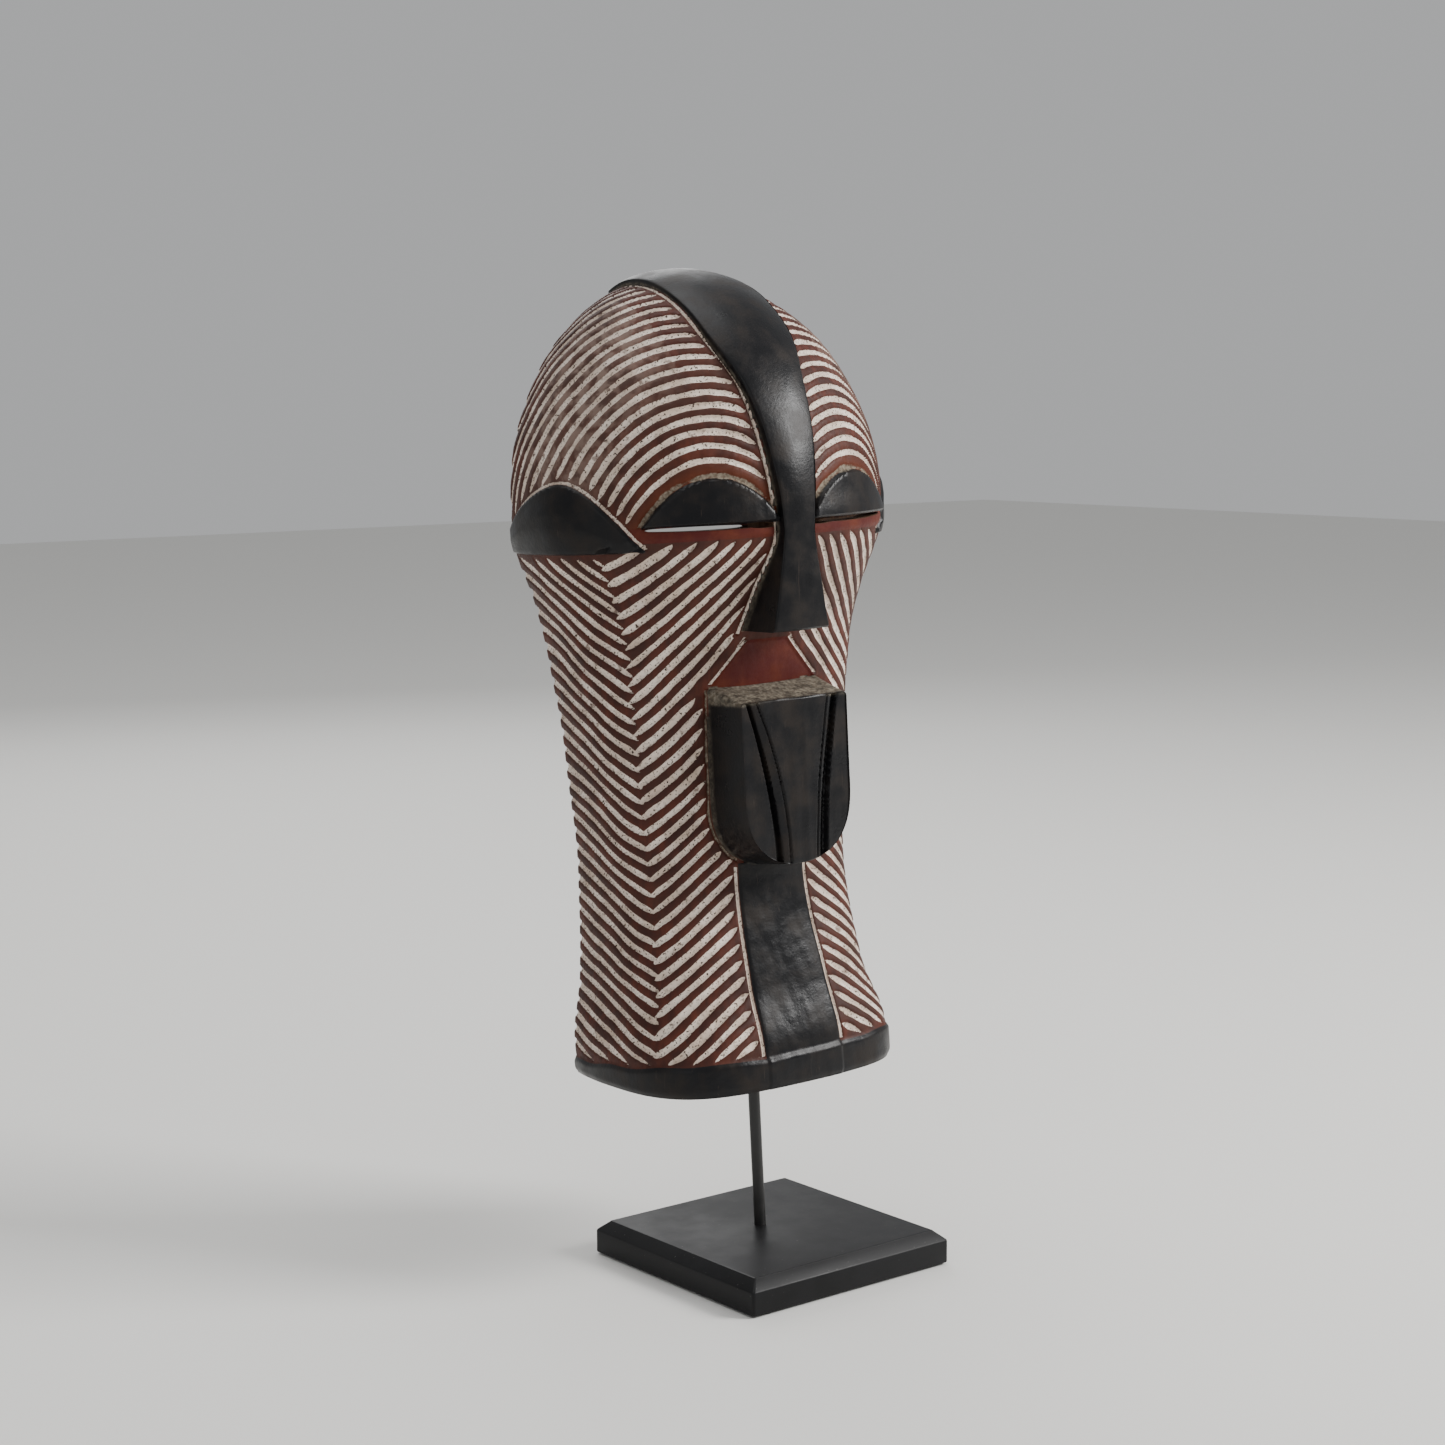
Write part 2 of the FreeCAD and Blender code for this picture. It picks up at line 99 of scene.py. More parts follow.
def monotone(xs, ys, at):
    """Monotone cubic through the points, as the carving's stations are joined."""
    xs = np.asarray(xs, float)
    ys = np.asarray(ys, float)
    at = np.clip(at, xs[0], xs[-1])
    steps = np.diff(xs)
    slopes = np.diff(ys) / steps
    joint = slopes[:-1] * slopes[1:]
    both = np.where(joint > 0, slopes[:-1] + slopes[1:], 1.0)
    inner = np.where(joint > 0, 2.0 * joint / both, 0.0)
    tangents = np.concatenate([slopes[:1], inner, slopes[-1:]])
    place = np.clip(np.searchsorted(xs, at, side="right") - 1, 0, len(steps) - 1)
    share = (at - xs[place]) / steps[place]
    rise = share * share * (3.0 - 2.0 * share)
    start = share * (1.0 - share) ** 2 * steps[place] * tangents[place]
    end = share * share * (share - 1.0) * steps[place] * tangents[place + 1]
    return ys[place] + (ys[place + 1] - ys[place]) * rise + start + end


# ------------------------------------------------------------- the mask form

CROWN = 406.0
DOME_START = 290.0
WIDEST_LINE = 19.0
DOME_SETBACK = 22.0
BACK_PLANE = 56.0
BACK_ROUND = 70.0
BACK_ROUND_GAIN = 45.0
HEIGHTS = (0.0, 18.0, 50.0, 105.0, 165.0, 215.0, 245.0, 276.0, 290.0)
HALF_WIDTHS = (75.0, 76.0, 70.5, 68.0, 72.0, 79.0, 86.5, 97.0, 98.0)
FRONTS = (-46.0, -45.0, -35.5, -24.5, -25.5, -29.0, -40.0, -56.0, -56.5)
SQUARENESS = (3.4, 3.2, 2.7, 2.5, 2.4, 2.2, 2.1, 2.0, 2.0)


def section(height, side=0.0, front=0.0, crown=CROWN):
    """Half width, middle, front depth, back depth and squareness at a height."""
    low = np.minimum(height, DOME_START)
    rise = np.maximum(0.0, height - DOME_START) / (crown - DOME_START)
    shrink = np.sqrt(np.maximum(1e-8, 1.0 - rise * rise))
    half = (monotone(HEIGHTS, HALF_WIDTHS, low) + side) * shrink
    depth = (WIDEST_LINE - monotone(HEIGHTS, FRONTS, low) + front) * shrink
    back = (BACK_ROUND + BACK_ROUND_GAIN * shrink) * shrink
    middle = WIDEST_LINE + DOME_SETBACK * (1.0 - shrink)
    return half, middle, depth, back, monotone(HEIGHTS, SQUARENESS, low)


def outside(x, y, z):
    """Negative inside the form, positive outside it."""
    half, middle, depth, back, square = section(z)
    across = np.abs(x / half)
    ahead = np.maximum(0.0, (middle - y) / depth)
    behind = np.maximum(0.0, (y - middle) / back)
    front = (across ** square + ahead ** square) ** (1.0 / square)
    value = np.where(y < middle, front, np.sqrt(across ** 2 + behind ** 2))
    return np.where(z > CROWN, 2.0, value) - 1.0


def form_rows(levels, columns, side, front, crown, behind):
    """Rows of points round the form at each level, from back edge to back edge."""
    half, middle, depth, back, square = (v[:, None] for v in section(levels, side, front, crown))
    reach = np.clip((behind - middle) / back, 0.0, 0.9999)
    last = math.pi - np.arccos(reach)
    fine_turns = 1600
    share = np.linspace(-1.0, 1.0, fine_turns)[None, :]

    def at(angle):
        over = np.sin(angle)
        along = np.cos(angle)
        power = np.where(along > 0, 2.0 / square, 1.0)
        x = half * np.sign(over) * np.abs(over) ** power
        y = np.where(along > 0, middle - depth * np.abs(along) ** power, middle - back * along)
        return x, y

    angle = last * share
    x, y = at(angle)
    length = np.cumsum(np.hypot(np.diff(x), np.diff(y)), axis=1)
    length = np.concatenate([np.zeros_like(length[:, :1]), length], axis=1)
    wanted = np.linspace(0.0, 1.0, columns)
    even = np.array([np.interp(wanted * run[-1], run, turn) for run, turn in zip(length, angle)])
    x, y = at(even)
    return np.stack([x, y, np.repeat(levels[:, None], columns, axis=1)], axis=-1)


def form_levels(low, step, crown):
    """Heights up the form, closer together where the dome turns over."""
    dome_end, dome_length = 88.6, 150.0
    dome = np.radians(np.linspace(0.0, dome_end, int(dome_length / step)))
    wall = np.linspace(low, DOME_START, int((DOME_START - low) / step), endpoint=False)
    return np.concatenate([wall, DOME_START + (crown - DOME_START) * np.sin(dome)])


def row_normals(rows):
    """Unit normals of a grid of points, pointing out of the form."""
    along = np.gradient(rows, axis=0)
    across = np.gradient(rows, axis=1)
    normal = np.cross(across, along)
    return normal / np.maximum(1e-9, np.linalg.norm(normal, axis=-1, keepdims=True))


# ------------------------------------------------------------ carved features

EYE_LEVEL = 281.4
BAND_LOW = 274.5

# The eyelid arcs are rings of a stretched sphere. Its centre, stretch and step, and the
# coefficients of cheek_phase() and flank_phase(), come from a least-squares fit to the
# run and spacing of the grooves in the photograph.
LID_CENTRE = (-31.9, -19.3, 259.3)
LID_STRETCH = (1.0, 0.915, 0.617)
LID_REACH = 46.2
ARC_STEP = 3.93
GROOVE_PITCH = 6.8
PER_UNIT = GROOVE_PITCH / ARC_STEP

NOSE_TIP = 228.0
NOSE_START = 277.0
NOSE_HALF = 9.3
NOSE_FLARE = 7.7
BLOCK_TOP = 201.0
MOUTH_LOW = 198.0
MOUTH_TOP = 223.0
CHIN_TOP = 112.0
LOBE_LOW = 270.0
CREST_HEIGHTS = (277.0, 293.0, 317.0, 346.0, 377.0, 395.0)
CREST_HALVES = (9.3, 10.7, 14.0, 17.3, 25.8, 27.0)

# Signed distances that stand for "not near this" in the fields below.
FAR = -9.0
OUTSIDE = -50.0

# How far past the spine the grooves' points reach, and how far they stop short of the rest.
INTERLOCK = 1.9
RIM_STOP = 0.4
CREST_STOP = 2.6
CHIN_STOP = 2.4
BLOCK_STOP = 1.6
MOUTH_STOP = 1.2
FLANK_PITCH = 7.1

# How deep or proud each carved feature is.
GROOVE_DEPTH = 1.25
CRUST_DEPTH = 0.9
LID_PROUD = 2.3
LID_LIP = 1.6
LOBE_PROUD = 1.5
RIM_PROUD = 1.5
CHIN_PROUD = 0.5
MOUTH_DEPTH = 0.9
BAND_PROUD = 0.8


def lid_radius(x, y, z):
    """Stretched distance from the heart of the nearer eyelid."""
    away = (-np.abs(x) - LID_CENTRE[0], y - LID_CENTRE[1], z - LID_CENTRE[2])
    return np.sqrt(sum(w * d * d for w, d in zip(LID_STRETCH, away)))


def crest_half(z):
    """Half width of the crest, and of the nose below it."""
    down = np.clip((NOSE_START - z) / (NOSE_START - NOSE_TIP), 0.0, 1.2)
    nose = NOSE_HALF + NOSE_FLARE * down ** 1.25
    return np.where(z < NOSE_START, nose, monotone(CREST_HEIGHTS, CREST_HALVES, z))


def lobe_inside(y, z):
    """How far inside the half-moon ear lobe a point of the side is."""
    peak_y, peak_z = 6.0, 304.5
    front_run, front_fall = 35.0, 30.0
    back_run, back_fall = 50.0, 21.0
    ahead = np.clip((peak_y - y) / front_run, 0.0, 2.0)
    behind = np.clip((y - peak_y) / back_run, 0.0, 2.0)
    arch = peak_z - front_fall * ahead ** 2.1 - back_fall * behind ** 1.5
    slope = 1.0 + 0.9 * np.minimum(ahead, 1.0)
    return np.minimum((arch - z) / slope, z - LOBE_LOW)


def chin_inside(x, z):
    """How far inside the plain chin band a point of the face is."""
    top_half, flare = 20.0, 3.5
    top, run = 105.0, 85.0
    return top_half + flare * np.clip((top - z) / run, 0.0, 1.0) - np.abs(x)


def rim_height(y):
    """Top of the plain rim band, higher in front than at the back."""
    front_height, fall = 16.5, 8.5
    front, run = -40.0, 95.0
    return front_height - fall * np.clip((y - front) / run, 0.0, 1.0)


def mouth_flare(x, z):
    """How far inside the slanted sides of the mouth's red field a point is."""
    top, top_half = 222.0, 13.0
    flare, fall = 20.0, 21.0
    half = top_half + flare * (top - z) / fall
    square_to_edge = 0.72
    return (half - np.abs(x)) * square_to_edge


def mouth_inside(x, z):
    """How far inside the red field between nose and mouth a point is."""
    return np.minimum(mouth_flare(x, z), np.minimum(z - MOUTH_LOW, MOUTH_TOP - z))


def block_half(z, top, half, low):
    """Half width of the mouth block at a height."""
    shoulder = 38.0
    drop = np.clip((low + shoulder - z) / shoulder, 0.0, 1.0)
    width = half * (1.0 - drop ** 2.6) ** (1.0 / 2.2)
    return np.where((z > top) | (z < low), -1.0, width)


def block_inside(x, z):
    """How far inside the mouth block's root a point of the face is."""
    print_half, print_low, slack = 34.0, 108.0, 0.5
    half = block_half(np.clip(z, print_low + slack, BLOCK_TOP), BLOCK_TOP, print_half, print_low)
    return np.minimum(half - np.abs(x), np.minimum(z - (print_low - slack), BLOCK_TOP - z))


def spine_side(y, z):
    """Distance ahead of the line where the cheek's grooves meet."""
    waist, waist_y, run = 140.0, -4.5, 120.0
    upper_bow, lower_bow = 7.5, 13.0
    bow = np.where(z > waist, upper_bow, lower_bow)
    spine = waist_y - bow * ((z - waist) / run) ** 2
    along_surface = 1.1
    return along_surface * (spine - y)


def arc_phase(radius):
    """Counts the grooves outward from the eyelid over the forehead."""
    return (radius - LID_REACH) / ARC_STEP - 0.15


def cheek_phase(x, z):
    """Counts the grooves that rise from the spine towards the nose."""
    u = -np.abs(x) / 100.0
    w = z / 100.0
    return 12.42 * w + u * (9.73 * u - 6.31 * w - 0.08) - 0.7 * w * w + u * w * (0.39 * w - 5.03 * u)


def flank_phase(y, z):
    """Counts the grooves that rise from the spine towards the back."""
    u = y / 100.0
    w = z / 100.0
    return 14.45 * w + u * (0.8 * u - 2.78 * w - 4.41) - 0.67 * w * w + u * w * (0.11 * w + 2.26 * u)


def stroke(phase, edge, points, seed, pitch, share, taper):
    """Millimetres inside the nearest groove; it narrows to a point at its ends."""
    phase = phase + 0.05 * wobble(points, 34.0, seed) + 0.012 * wobble(points, 9.0, seed + 1)
    count = np.round(phase)
    off = np.abs(phase - count) * pitch
    width = pitch * share * (0.88 + 0.24 * hashed(count, seed))
    width = width * (1.0 + 0.07 * wobble(points, 12.0, seed + 2))
    start = edge - 0.9 * hashed(count, seed + 5)
    return width * np.clip(start / taper, 0.0, 1.0) ** 0.6 - off


def regions(points):
    """Signed millimetres inside each region of the face."""
    x, y, z = points[..., 0], points[..., 1], points[..., 2]
    front = y < 0.0
    radius = lid_radius(x, y, z)
    above = z - EYE_LEVEL
    lid = np.minimum((LID_REACH - radius) * PER_UNIT, above)
    return {
        "front": front, "radius": radius, "above": above,
        "crest": np.abs(x) - crest_half(z),
        "lobe": lobe_inside(y, z),
        "spine": spine_side(y, z),
        "rim": rim_height(y) - z + 0.5 * wobble(points, 28.0, 4),
        "block": np.where(front, block_inside(x, z), OUTSIDE),
        "chin": np.where(front & (z < CHIN_TOP), chin_inside(x, z), OUTSIDE),
        "mouth": np.where(front, mouth_inside(x, z), OUTSIDE),
        "lid": np.where(np.abs(x) < crest_half(z) - 1.0, OUTSIDE, lid),
    }


def arc_grooves(points, at):
    """The arcs over each eyelid, up to the crest and the ear lobe."""
    edge = np.minimum(np.minimum(at["crest"] - 2.4, -at["lobe"] - 1.6), at["above"] + 1.0)
    arcs = stroke(arc_phase(at["radius"]), edge, points, 11, GROOVE_PITCH, 0.24, 3.6)
    shown = (at["radius"] > LID_REACH + 2.0) & (at["above"] > -1.0) & (at["lobe"] < 0)
    return np.where(shown, arcs, FAR)


def cheek_grooves(points, at):
    """The slanted grooves between the spine and the nose, mouth and chin."""
    x, z = points[..., 0], points[..., 2]
    edge = np.min([
        at["spine"] + INTERLOCK,
        BAND_LOW - z,
        -at["rim"] - RIM_STOP,
        np.where(at["front"], -at["mouth"] - MOUTH_STOP, -OUTSIDE),
        np.where(at["front"], -at["block"] - BLOCK_STOP, -OUTSIDE),
        np.where(z < CHIN_TOP, -at["chin"] - CHIN_STOP, -OUTSIDE),
        np.where(z > NOSE_TIP - 3.0, at["crest"] - CREST_STOP, -OUTSIDE),
    ], axis=0)
    cheek = stroke(cheek_phase(x, z), edge, points, 23, GROOVE_PITCH, 0.25, 4.2)
    return np.where(edge > 0, cheek, FAR)


def flank_grooves(points, at):
    """The slanted grooves from the spine towards the back edge."""
    y, z = points[..., 1], points[..., 2]
    edge = np.minimum(np.minimum(INTERLOCK - at["spine"], LOBE_LOW - 1.0 - z), -at["rim"] - RIM_STOP)
    flank = stroke(flank_phase(y, z), edge, points, 37, FLANK_PITCH, 0.22, 4.2)
    return np.where(edge > 0, flank, FAR)


def fine_lines(points, at):
    """The thin kaolin lines beside the crest, chin band, mouth field and lobes."""
    x, z = points[..., 0], points[..., 2]
    beside_mouth = (z > MOUTH_LOW + 4.0) & (z < MOUTH_TOP - 0.5) & at["front"]
    line = np.max([
        np.where(z > NOSE_TIP - 2.0, 1.0 - np.abs(at["crest"] - 1.3), FAR),
        np.where(z < CHIN_TOP - 2.0, 1.0 - np.abs(at["chin"] + 1.2), FAR),
        np.where(beside_mouth, 0.8 - np.abs(mouth_flare(x, z) + 0.8), FAR),
        np.where(z > LOBE_LOW + 1.5, 0.8 - np.abs(at["lobe"] + 0.8), FAR),
    ], axis=0)
    return np.where(at["rim"] > -1.0, FAR, line)


def dusty_edges(points, at):
    """The ragged crust of old kaolin over the eyelids and round the mouth block."""
    z = points[..., 2]
    low_face = (z > CHIN_TOP - 2.0) & (z < BLOCK_TOP - 1.0) & at["front"]
    over_lid = 1.25 - np.abs((at["radius"] - LID_REACH) * PER_UNIT - 0.9)
    dusty = np.maximum(
        np.where(at["above"] > 0.5, over_lid, FAR),
        np.where(low_face, 1.0 - np.abs(at["block"] + 0.6), FAR))
    return np.where(at["crest"] < 0.5, FAR, dusty) + 0.35 * wobble(points, 7.0, 3)


def features(points):
    """The signed distances and amounts that both the carving and the paint use."""
    x, y, z = points[..., 0], points[..., 1], points[..., 2]
    at = regions(points)
    above, crest = at["above"], at["crest"]
    plain_chin = np.where(at["mouth"] > 0, FAR, at["chin"])
    nose = np.where(z > NOSE_TIP, -crest, OUTSIDE)
    band = np.min([z - BAND_LOW, 0.5 - above, crest - 1.0, 79.0 - np.abs(x)], axis=0)
    past_lid = np.clip(at["radius"] - LID_REACH - 1.0, 0.0, 60.0)
    rubbed = ramp(np.hypot(y - 6.0, (z - 345.0) * 0.55), 46.0, 8.0)
    return {
        "groove": np.max([arc_grooves(points, at), cheek_grooves(points, at),
                          flank_grooves(points, at), fine_lines(points, at)], axis=0),
        "dark": np.max([at["lid"], at["lobe"], at["rim"], plain_chin, nose], axis=0),
        "red": np.maximum(at["mouth"], np.where(at["front"], band, FAR)),
        "dusty": dusty_edges(points, at),
        "warm": np.exp(-past_lid / 2.6) * (above > 0),
        "worn": rubbed * (np.abs(x) > 45.0) * (above > 15.0),
        "band": band,
        "lid": at["lid"], "lobe": at["lobe"], "rim": at["rim"],
        "chin": at["chin"], "mouth": at["mouth"],
    }


def carve(points, found):
    """How far the surface stands out from the plain form, in millimetres."""
    z = points[..., 2]
    depth = -GROOVE_DEPTH * ramp(found["groove"], -0.35, 0.9)
    depth -= CRUST_DEPTH * ramp(found["dusty"], -0.4, 0.9)
    depth += (LID_PROUD + LID_LIP * ramp(EYE_LEVEL + 16.0 - z, 0.0, 16.0)) * ramp(found["lid"], 0.0, 1.4)
    depth += LOBE_PROUD * ramp(found["lobe"], 0.0, 1.2) + 0.9 * ramp(found["lobe"], 2.0, 14.0)
    depth += RIM_PROUD * ramp(found["rim"], -1.2, 2.2) - 1.8 * ramp(z, 3.4, -1.0)
    depth += CHIN_PROUD * ramp(found["chin"], 0.0, 1.2) - MOUTH_DEPTH * ramp(found["mouth"], 0.0, 1.4)
    depth += BAND_PROUD * ramp(found["band"], 0.0, 2.0)
    depth += 0.32 * wobble(points, 46.0, 51) + 0.05 * wobble(points, 9.0, 52)
    return depth + 0.02 * wobble(points, 3.6, 53)


# -------------------------------------------------------------- mesh helpers

PLAIN = {
    "groove": FAR, "dark": 9.0, "red": FAR, "dusty": FAR,
    "warm": 0.0, "worn": 0.0, "dust": 0.0, "known": 1.0,
}


def closed_mesh(name, rows):
    """A closed mesh from rows of points, each row a ring, with flat ends."""
    count, columns = rows.shape[:2]
    index = np.arange(count * columns).reshape(count, columns)
    ahead = np.roll(index, -1, axis=1)
    quads = np.stack([index[:-1], ahead[:-1], ahead[1:], index[1:]], axis=-1).reshape(-1, 4)
    mesh = bpy.data.meshes.new(name)
    faces = quads.tolist() + [index[0, ::-1].tolist(), index[-1].tolist()]
    mesh.from_pydata(rows.reshape(-1, 3).tolist(), [], faces)
    mesh.update()
    turned = bmesh.new()
    turned.from_mesh(mesh)
    bmesh.ops.recalc_face_normals(turned, faces=turned.faces)
    turned.to_mesh(mesh)
    turned.free()
    thing = bpy.data.objects.new(name, mesh)
    bpy.context.scene.collection.objects.link(thing)
    return thing


def paint_mesh(thing, values):
    """Stores the paint values of each vertex."""
    count = len(thing.data.vertices)
    for key in PLAIN:
        layer = thing.data.attributes.new(key, "FLOAT", "POINT")
        value = np.broadcast_to(values.get(key, PLAIN[key]), (count,))
        layer.data.foreach_set("value", value.astype(np.float32))


def combine(target, tool, operation):
    """Adds or cuts one closed mesh, then removes the tool."""
    step = target.modifiers.new("carve", "BOOLEAN")
    step.operation = operation
    step.solver = "MANIFOLD"
    step.object = tool
    step.material_mode = "TRANSFER"
    graph = bpy.context.evaluated_depsgraph_get()
    mesh = bpy.data.meshes.new_from_object(target.evaluated_get(graph))
    target.modifiers.remove(step)
    target.data = mesh
    bpy.data.objects.remove(tool)
    return target


def box_tool(name, low, high):
    x0, y0, z0 = low
    x1, y1, z1 = high
    ring = [(x0, y0), (x1, y0), (x1, y1), (x0, y1)]
    rows = np.array([[(x, y, z) for x, y in ring] for z in (z0, z1)], float)
    return closed_mesh(name, rows)


def round_tool(name, radius, low, high, count=64):
    """A cylinder about the rod's axis, between two heights on it."""
    turn = np.linspace(0.0, 2.0 * math.pi, count, endpoint=False)
    ring = np.stack([radius * np.cos(turn), radius * np.sin(turn)], axis=1)
    rows = np.array([[(x, y, z) for x, y in ring] for z in (low, high)])
    return closed_mesh(name, rows)


def move_to_row(thing, height):
    """Takes a mesh from millimetres on the rod to the row frame in metres."""
    count = len(thing.data.vertices)
    flat = np.zeros(count * 3)
    thing.data.vertices.foreach_get("co", flat)
    moved = on_rod(flat.reshape(-1, 3), height)
    thing.data.vertices.foreach_set("co", moved.ravel())
    thing.data.update()


def smooth(thing, degrees=40.0):
    thing.data.polygons.foreach_set("use_smooth", [True] * len(thing.data.polygons))
    thing.data.set_sharp_from_angle(angle=math.radians(degrees))


# ------------------------------------------------------------ the mask pieces

SHELL_STEP = 0.95
SHELL_COLUMNS = 400
HOLLOW_STEP = 2.6
HOLLOW_COLUMNS = 150
SIDE_WALL = 10.0
FRONT_WALL = 12.0
CROWN_WALL = 11.0


def shell_solid():
    """The carved outside, closed across the back and below the rim."""
    rows = form_rows(form_levels(-4.0, SHELL_STEP, CROWN), SHELL_COLUMNS, 0.0, 0.0, CROWN,
                     BACK_PLANE + 5.0)
    found = features(rows)
    lifted = rows + row_normals(rows) * carve(rows, found)[..., None]
    shell = closed_mesh("mask_shell_carving", lifted)
    values = {key: found[key].ravel() for key in PLAIN if key in found}
    paint_mesh(shell, values)
    return shell


def hollow_solid():
    """The hollow, dressed with a gouge into shallow scoops."""
    crown = CROWN - CROWN_WALL
    rows = form_rows(form_levels(-8.0, HOLLOW_STEP, crown), HOLLOW_COLUMNS, -SIDE_WALL,
                     -FRONT_WALL, crown, BACK_PLANE + 19.0)
    scoops = 0.7 * np.abs(wobble(rows, 24.0, 61)) + 0.35 * np.abs(wobble(rows, 11.0, 62))
    hollow = closed_mesh("hollow", rows - row_normals(rows) * scoops[..., None])
    paint_mesh(hollow, {})
    return hollow


HEART_Y = 30.0
CREST_SOFT = 1.1
CREST_LAST_TURN = 106.0


def reach(x, height, angle):
    """Distance along a ray from the head's heart to the form, for each x."""
    low = np.zeros_like(x)
    high = np.full_like(x, 160.0)
    for _ in range(36):
        middle = (low + high) / 2.0
        y = HEART_Y - middle * np.cos(angle)
        z = height + middle * np.sin(angle)
        inside = outside(x, y, z) < 0
        low = np.where(inside, middle, low)
        high = np.where(inside, high, middle)
    return low


def crest_profile():
    """The crest's cross-section: side, share of its height, inset and drop of its edge."""
    depth_steps = (-4.0, -1.5, 0.0, 0.2, 0.4, 0.6, 0.8, 0.93)
    rounding = np.radians(np.linspace(0.0, 90.0, 6))
    sides = []
    for sign in (-1.0, 1.0):
        side = [(sign, step, 0.0, 0.0) for step in depth_steps]
        for a in rounding:
            side.append((sign, 1.0, CREST_SOFT * (1.0 - math.cos(a)), CREST_SOFT * (1.0 - math.sin(a))))
        sides.append(side if sign < 0 else side[::-1])
    middle = [(u, 1.0, 0.0, 0.0) for u in np.linspace(-1.0, 1.0, 34)[1:-1]]
    return np.array(sides[0] + middle + sides[1])


def crest_top(base, crown, heights, angles):
    """How far from the heart the crest stands; the nose is straighter than the face."""
    raised = base + 4.0 - 1.5 * ramp(angles, 0.3, 1.2) + 0.9 * crown
    nose_plane = 89.5 + 1.5 * np.clip((heights - 230.0) / 54.0, 0.0, 1.0) + 0.9 * crown
    bridge = np.maximum(0.0, nose_plane - raised)
    at_dome = bridge[np.argmax(heights[:, 0] == DOME_START)]
    raised = raised + np.where(angles > 0, at_dome * ramp(angles, 0.35, 0.0), bridge)
    tip_round = 1.6
    tip = np.clip((NOSE_TIP + tip_round - heights) / tip_round, 0.0, 1.0)
    return raised - tip_round * (1.0 - np.sqrt(1.0 - tip ** 2 * 0.98))


def crest_solid():
    """Crest and nose: one raised strip from the back edge down to the nostrils."""
    wall = np.arange(NOSE_TIP, DOME_START, 1.0)
    turns = np.radians(np.linspace(0.0, CREST_LAST_TURN, 190))
    heights = np.concatenate([wall, np.full(len(turns), DOME_START)])
    angles = np.concatenate([np.zeros(len(wall)), turns])
    surface = reach(np.zeros(len(heights)), heights, angles)
    top_level = heights + surface * np.sin(angles)
    past_top = angles > math.radians(80.0)
    edge = np.where(past_top, CREST_HALVES[-1], crest_half(top_level))[:, None]

    u, share, inset, drop = (column[None, :] for column in crest_profile().T)
    heights, angles = heights[:, None], angles[:, None]
    x = np.sign(u) * (np.abs(u) * (edge - CREST_SOFT) + np.where(np.abs(u) == 1.0, CREST_SOFT - inset, 0.0))
    base = reach(x, heights + 0.0 * x, angles + 0.0 * x)
    raised = crest_top(base, 1.0 - (x / edge) ** 2, heights, angles) - drop
    lift = np.where(share < 0, base + share, base + np.clip(share, 0.0, 1.0) * (raised - base))
    y = HEART_Y - lift * np.cos(angles)
    z = heights + lift * np.sin(angles)
    rows = np.stack([x, y, z], axis=-1)
    rows += 0.16 * wobble(rows, 26.0, 71)[..., None] * row_normals(rows)
    rows[..., 0] += 0.35 * wobble(rows, 60.0, 72) * ramp(z, 285.0, 300.0)
    crest = closed_mesh("crest", rows)
    root = ramp(lift - base, 1.4, 0.2) * (share < 1.0)
    paint_mesh(crest, {"dust": (0.6 * root).ravel()})
    return crest


BLOCK_FACE = 51.0
FACE_TOP = 194.0
FACE_HALF = 32.5
FACE_LOW = 112.0
ROOT_HALF = 34.2
ROOT_LOW = 108.5


def block_ring(top, half, low, count):
    """The mouth block's outline as evenly spaced (x, z) points."""
    z = low + (top - low) * 0.5 * (1.0 - np.cos(np.linspace(0.0, math.pi, 400)))
    right = np.stack([block_half(z, top, half, low), z], axis=1)
    right[0, 0] = 0.0
    corner = 2.0
    turn = np.radians(np.linspace(0.0, 90.0, 8))
    right = right[right[:, 1] < top - corner]
    bend = np.stack([half - corner + corner * np.cos(turn), top - corner + corner * np.sin(turn)], axis=1)
    right = np.concatenate([right, bend, [[0.0, top]]])
    left = right[::-1] * np.array([-1.0, 1.0])
    loop = np.concatenate([right, left[1:]])
    length = np.concatenate([[0.0], np.cumsum(np.hypot(*np.diff(loop, axis=0).T))])
    wanted = np.linspace(0.0, length[-1], count, endpoint=False)
    return np.stack([np.interp(wanted, length, loop[:, k]) for k in (0, 1)], axis=1)


def block_cuts(x, z):
    """Depth of the paired cuts and facets in the mouth block's face."""
    rise = np.clip((z - 113.0) / 80.0, 0.0, 1.1)
    left = x < 0
    outer = np.where(left, 13.0 + 14.5 * rise ** 1.7, 14.5 + 11.0 * rise ** 1.6)
    inner = np.where(left, 6.5 + 16.0 * rise ** 2.0, 10.0 + 10.5 * rise ** 1.6)
    ax = np.abs(x)
    wide = 1.7 + 0.9 * (1.0 - rise)
    cut = 3.2 * ramp(wide - np.abs(ax - outer), 0.0, 1.3)
    thin = 1.2 * ramp(0.9 - np.abs(ax - inner), 0.0, 0.8)
    strip = np.clip((ax - inner) / np.maximum(1.0, outer - inner), 0.0, 1.0)
    sunk = 1.6 * strip * (ax > inner) * (ax < outer)
    return cut + thin + sunk


